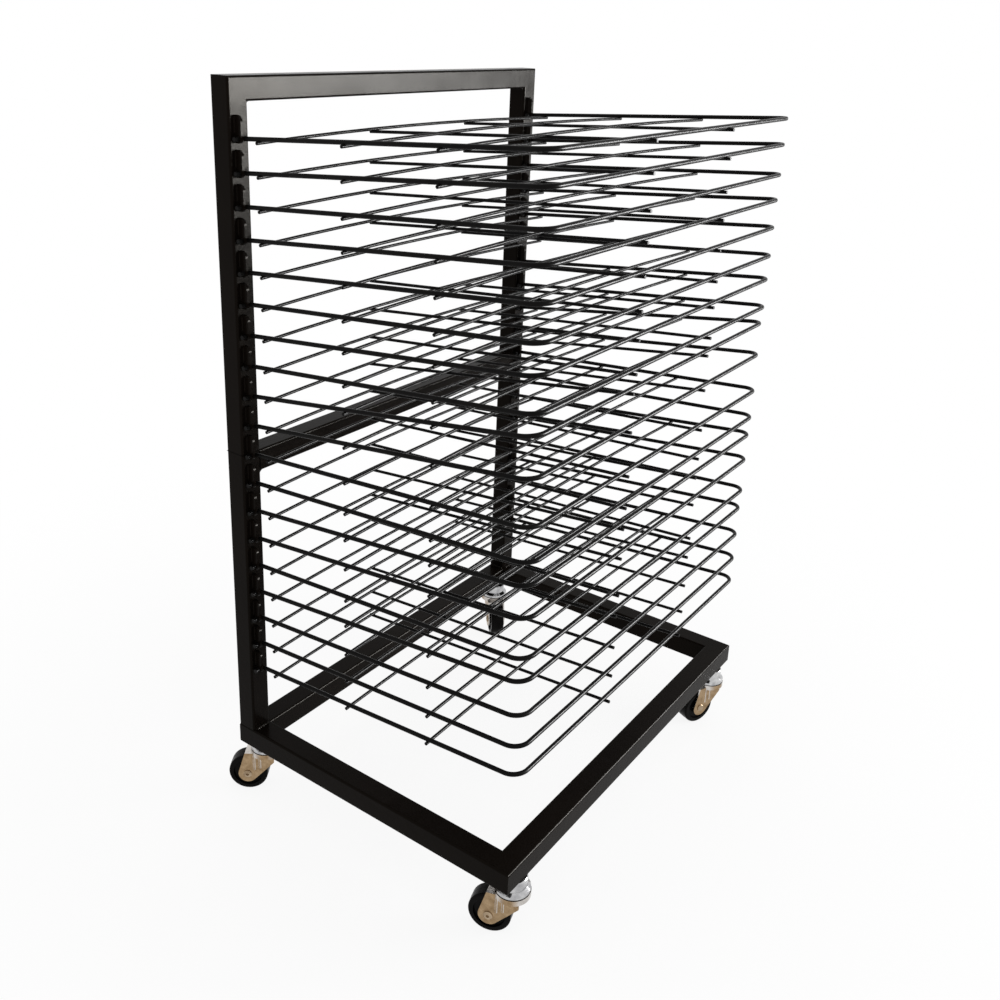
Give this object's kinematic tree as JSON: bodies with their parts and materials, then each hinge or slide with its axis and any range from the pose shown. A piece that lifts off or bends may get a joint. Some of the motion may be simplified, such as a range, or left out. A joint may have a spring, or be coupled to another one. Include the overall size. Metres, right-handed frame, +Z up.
{
  "type": "art drying rack",
  "caption": "Wheeled art drying rack: a square-tube frame with a stack of hinged wire-mesh shelves pinned in lugs on its posts, on swivel casters.",
  "frame": {"origin": "on the floor, in the middle of the footprint that the frame and the trailing casters cover", "axes": "+X to the rack's right seen from the front, -Y to the front where sheets go in, +Z up"},
  "size_m": [0.4548, 0.3618, 0.716],
  "materials": {
    "black_coat": "satin black powder coat",
    "black_wire": "satin black powder coat on wire",
    "zinc_plate": "bright zinc plate",
    "plain_steel": "plain steel, hidden",
    "black_wheel": "moulded black wheel"
  },
  "bodies": {
    "frame": {"base_front": "black_coat", "base_rear": "black_coat", "base_left": "black_coat", "base_right": "black_coat", "lower_post_left": "black_coat", "lower_post_right": "black_coat", "mid_bar": "black_coat", "upper_post_left": "black_coat", "upper_post_right": "black_coat", "top_bar": "black_coat", "upper_lugs_left": "black_coat", "upper_lugs_right": "black_coat", "lower_lugs_left": "black_coat", "lower_lugs_right": "black_coat", "corner_welds": "black_coat", "joint_spigots": "plain_steel", "stem_nuts": "plain_steel", "caster_front_left_stem": "zinc_plate", "caster_front_right_stem": "zinc_plate", "caster_rear_left_stem": "zinc_plate", "caster_rear_right_stem": "zinc_plate"},
    "shelf_01": {"shelf_01": "black_wire"},
    "shelf_02": {"shelf_02": "black_wire"},
    "shelf_03": {"shelf_03": "black_wire"},
    "shelf_04": {"shelf_04": "black_wire"},
    "shelf_05": {"shelf_05": "black_wire"},
    "shelf_06": {"shelf_06": "black_wire"},
    "shelf_07": {"shelf_07": "black_wire"},
    "shelf_08": {"shelf_08": "black_wire"},
    "shelf_09": {"shelf_09": "black_wire"},
    "shelf_10": {"shelf_10": "black_wire"},
    "shelf_11": {"shelf_11": "black_wire"},
    "shelf_12": {"shelf_12": "black_wire"},
    "shelf_13": {"shelf_13": "black_wire"},
    "shelf_14": {"shelf_14": "black_wire"},
    "shelf_15": {"shelf_15": "black_wire"},
    "shelf_16": {"shelf_16": "black_wire"},
    "shelf_17": {"shelf_17": "black_wire"},
    "shelf_18": {"shelf_18": "black_wire"},
    "shelf_19": {"shelf_19": "black_wire"},
    "caster_front_left_swivel": {"caster_front_left_fork": "zinc_plate", "caster_front_left_balls": "plain_steel", "caster_front_left_axle": "zinc_plate"},
    "caster_front_left_wheel": {"caster_front_left_wheel": "black_wheel"},
    "caster_front_right_swivel": {"caster_front_right_fork": "zinc_plate", "caster_front_right_balls": "plain_steel", "caster_front_right_axle": "zinc_plate"},
    "caster_front_right_wheel": {"caster_front_right_wheel": "black_wheel"},
    "caster_rear_left_swivel": {"caster_rear_left_fork": "zinc_plate", "caster_rear_left_balls": "plain_steel", "caster_rear_left_axle": "zinc_plate"},
    "caster_rear_left_wheel": {"caster_rear_left_wheel": "black_wheel"},
    "caster_rear_right_swivel": {"caster_rear_right_fork": "zinc_plate", "caster_rear_right_balls": "plain_steel", "caster_rear_right_axle": "zinc_plate"},
    "caster_rear_right_wheel": {"caster_rear_right_wheel": "black_wheel"}
  },
  "joints": [
    {"name": "shelf_01_lift", "type": "hinge", "parent": "frame", "child": "shelf_01", "pos_m": [0, 0.13, 0.6655], "axis": [-1, 0, 0], "range_deg": [0, 61]},
    {"name": "shelf_02_lift", "type": "hinge", "parent": "frame", "child": "shelf_02", "pos_m": [0, 0.13, 0.63715], "axis": [-1, 0, 0], "range_deg": [0, 60.4]},
    {"name": "shelf_03_lift", "type": "hinge", "parent": "frame", "child": "shelf_03", "pos_m": [0, 0.13, 0.6088], "axis": [-1, 0, 0], "range_deg": [0, 60.6]},
    {"name": "shelf_04_lift", "type": "hinge", "parent": "frame", "child": "shelf_04", "pos_m": [0, 0.13, 0.58045], "axis": [-1, 0, 0], "range_deg": [0, 60]},
    {"name": "shelf_05_lift", "type": "hinge", "parent": "frame", "child": "shelf_05", "pos_m": [0, 0.13, 0.5521], "axis": [-1, 0, 0], "range_deg": [0, 59.9]},
    {"name": "shelf_06_lift", "type": "hinge", "parent": "frame", "child": "shelf_06", "pos_m": [0, 0.13, 0.52375], "axis": [-1, 0, 0], "range_deg": [0, 60]},
    {"name": "shelf_07_lift", "type": "hinge", "parent": "frame", "child": "shelf_07", "pos_m": [0, 0.13, 0.4954], "axis": [-1, 0, 0], "range_deg": [0, 59.3]},
    {"name": "shelf_08_lift", "type": "hinge", "parent": "frame", "child": "shelf_08", "pos_m": [0, 0.13, 0.46705], "axis": [-1, 0, 0], "range_deg": [0, 59.5]},
    {"name": "shelf_09_lift", "type": "hinge", "parent": "frame", "child": "shelf_09", "pos_m": [0, 0.13, 0.4387], "axis": [-1, 0, 0], "range_deg": [0, 57.5]},
    {"name": "shelf_10_lift", "type": "hinge", "parent": "frame", "child": "shelf_10", "pos_m": [0, 0.13, 0.41035], "axis": [-1, 0, 0], "range_deg": [0, 58.6]},
    {"name": "shelf_11_lift", "type": "hinge", "parent": "frame", "child": "shelf_11", "pos_m": [0, 0.13, 0.382], "axis": [-1, 0, 0], "range_deg": [0, 60.8]},
    {"name": "shelf_12_lift", "type": "hinge", "parent": "frame", "child": "shelf_12", "pos_m": [0, 0.13, 0.35365], "axis": [-1, 0, 0], "range_deg": [0, 61.1]},
    {"name": "shelf_13_lift", "type": "hinge", "parent": "frame", "child": "shelf_13", "pos_m": [0, 0.13, 0.3253], "axis": [-1, 0, 0], "range_deg": [0, 59.6]},
    {"name": "shelf_14_lift", "type": "hinge", "parent": "frame", "child": "shelf_14", "pos_m": [0, 0.13, 0.29695], "axis": [-1, 0, 0], "range_deg": [0, 59.7]},
    {"name": "shelf_15_lift", "type": "hinge", "parent": "frame", "child": "shelf_15", "pos_m": [0, 0.13, 0.2686], "axis": [-1, 0, 0], "range_deg": [0, 61.2]},
    {"name": "shelf_16_lift", "type": "hinge", "parent": "frame", "child": "shelf_16", "pos_m": [0, 0.13, 0.24025], "axis": [-1, 0, 0], "range_deg": [0, 59.9]},
    {"name": "shelf_17_lift", "type": "hinge", "parent": "frame", "child": "shelf_17", "pos_m": [0, 0.13, 0.2119], "axis": [-1, 0, 0], "range_deg": [0, 60.6]},
    {"name": "shelf_18_lift", "type": "hinge", "parent": "frame", "child": "shelf_18", "pos_m": [0, 0.13, 0.18355], "axis": [-1, 0, 0], "range_deg": [0, 60.9]},
    {"name": "shelf_19_lift", "type": "hinge", "parent": "frame", "child": "shelf_19", "pos_m": [0, 0.13, 0.1552], "axis": [-1, 0, 0], "range_deg": [0, 60.8]},
    {"name": "caster_front_left_turn", "type": "hinge", "parent": "frame", "child": "caster_front_left_swivel", "pos_m": [-0.201, -0.166, 0.0462], "axis": [0, 0, 1], "continuous": true},
    {"name": "caster_front_left_roll", "type": "hinge", "parent": "caster_front_left_swivel", "child": "caster_front_left_wheel", "pos_m": [-0.20672, -0.14841, 0.02], "axis": [-0.9511, -0.309, 0], "continuous": true},
    {"name": "caster_front_right_turn", "type": "hinge", "parent": "frame", "child": "caster_front_right_swivel", "pos_m": [0.201, -0.166, 0.0462], "axis": [0, 0, 1], "continuous": true},
    {"name": "caster_front_right_roll", "type": "hinge", "parent": "caster_front_right_swivel", "child": "caster_front_right_wheel", "pos_m": [0.18397, -0.15877, 0.02], "axis": [-0.3907, -0.9205, 0], "continuous": true},
    {"name": "caster_rear_left_turn", "type": "hinge", "parent": "frame", "child": "caster_rear_left_swivel", "pos_m": [-0.201, 0.144, 0.0462], "axis": [0, 0, 1], "continuous": true},
    {"name": "caster_rear_left_roll", "type": "hinge", "parent": "caster_rear_left_swivel", "child": "caster_rear_left_wheel", "pos_m": [-0.21161, 0.15915, 0.02], "axis": [-0.8192, -0.5736, 0], "continuous": true},
    {"name": "caster_rear_right_turn", "type": "hinge", "parent": "frame", "child": "caster_rear_right_swivel", "pos_m": [0.201, 0.144, 0.0462], "axis": [0, 0, 1], "continuous": true},
    {"name": "caster_rear_right_roll", "type": "hinge", "parent": "caster_rear_right_swivel", "child": "caster_rear_right_wheel", "pos_m": [0.18792, 0.13092, 0.02], "axis": [0.7071, -0.7071, 0], "continuous": true}
  ],
  "couplings": [
    {"joint": "shelf_02_lift", "follows": "shelf_01_lift", "ratio": 0.99016},
    {"joint": "shelf_03_lift", "follows": "shelf_01_lift", "ratio": 0.99344},
    {"joint": "shelf_04_lift", "follows": "shelf_01_lift", "ratio": 0.98361},
    {"joint": "shelf_05_lift", "follows": "shelf_01_lift", "ratio": 0.98197},
    {"joint": "shelf_06_lift", "follows": "shelf_01_lift", "ratio": 0.98361},
    {"joint": "shelf_07_lift", "follows": "shelf_01_lift", "ratio": 0.97213},
    {"joint": "shelf_08_lift", "follows": "shelf_01_lift", "ratio": 0.97541},
    {"joint": "shelf_09_lift", "follows": "shelf_01_lift", "ratio": 0.94262},
    {"joint": "shelf_10_lift", "follows": "shelf_01_lift", "ratio": 0.96066},
    {"joint": "shelf_11_lift", "follows": "shelf_01_lift", "ratio": 0.99672},
    {"joint": "shelf_12_lift", "follows": "shelf_01_lift", "ratio": 1.0016},
    {"joint": "shelf_13_lift", "follows": "shelf_01_lift", "ratio": 0.97705},
    {"joint": "shelf_14_lift", "follows": "shelf_01_lift", "ratio": 0.97869},
    {"joint": "shelf_15_lift", "follows": "shelf_01_lift", "ratio": 1.0033},
    {"joint": "shelf_16_lift", "follows": "shelf_01_lift", "ratio": 0.98197},
    {"joint": "shelf_17_lift", "follows": "shelf_01_lift", "ratio": 0.99344},
    {"joint": "shelf_18_lift", "follows": "shelf_01_lift", "ratio": 0.99836},
    {"joint": "shelf_19_lift", "follows": "shelf_01_lift", "ratio": 0.99672}
  ]
}
